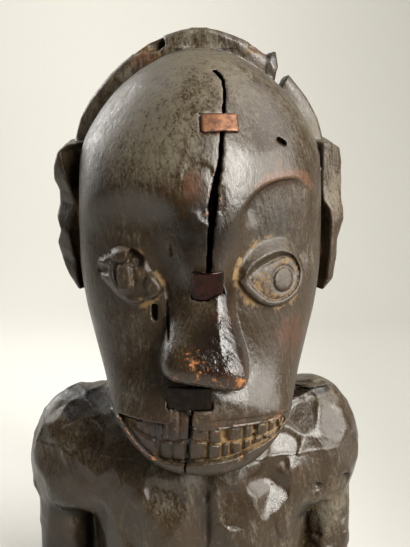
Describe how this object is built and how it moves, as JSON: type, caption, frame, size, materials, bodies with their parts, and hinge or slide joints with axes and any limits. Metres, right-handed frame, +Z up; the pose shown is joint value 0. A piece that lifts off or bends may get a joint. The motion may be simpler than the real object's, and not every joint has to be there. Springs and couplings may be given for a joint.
{
  "type": "carved wooden guardian figure bust",
  "caption": "Carved dark hardwood head and shoulders with a hollowed face, long nose, bared teeth, a capped hairdress and metal straps over a drying crack; cut flat below.",
  "frame": {"origin": "middle of the flat cut under the chest, below the neck", "axes": "+Z up through the crown; the face looks along -Y; +X is on the viewer's right"},
  "size_m": [0.1425, 0.1306, 0.2396],
  "materials": {
    "dark_wood": "old dark patina, satin, with dust in the hollows",
    "bright_copper": "rubbed copper, uneven",
    "dark_copper": "dark red-brown tarnish, glossy",
    "black_iron": "black, greasy"
  },
  "bodies": {
    "root": {"carved_wooden_bust": "dark_wood", "forehead_copper_strap": "bright_copper", "nose_bridge_strap": "dark_copper", "upper_lip_strap": "black_iron"}
  },
  "joints": []
}
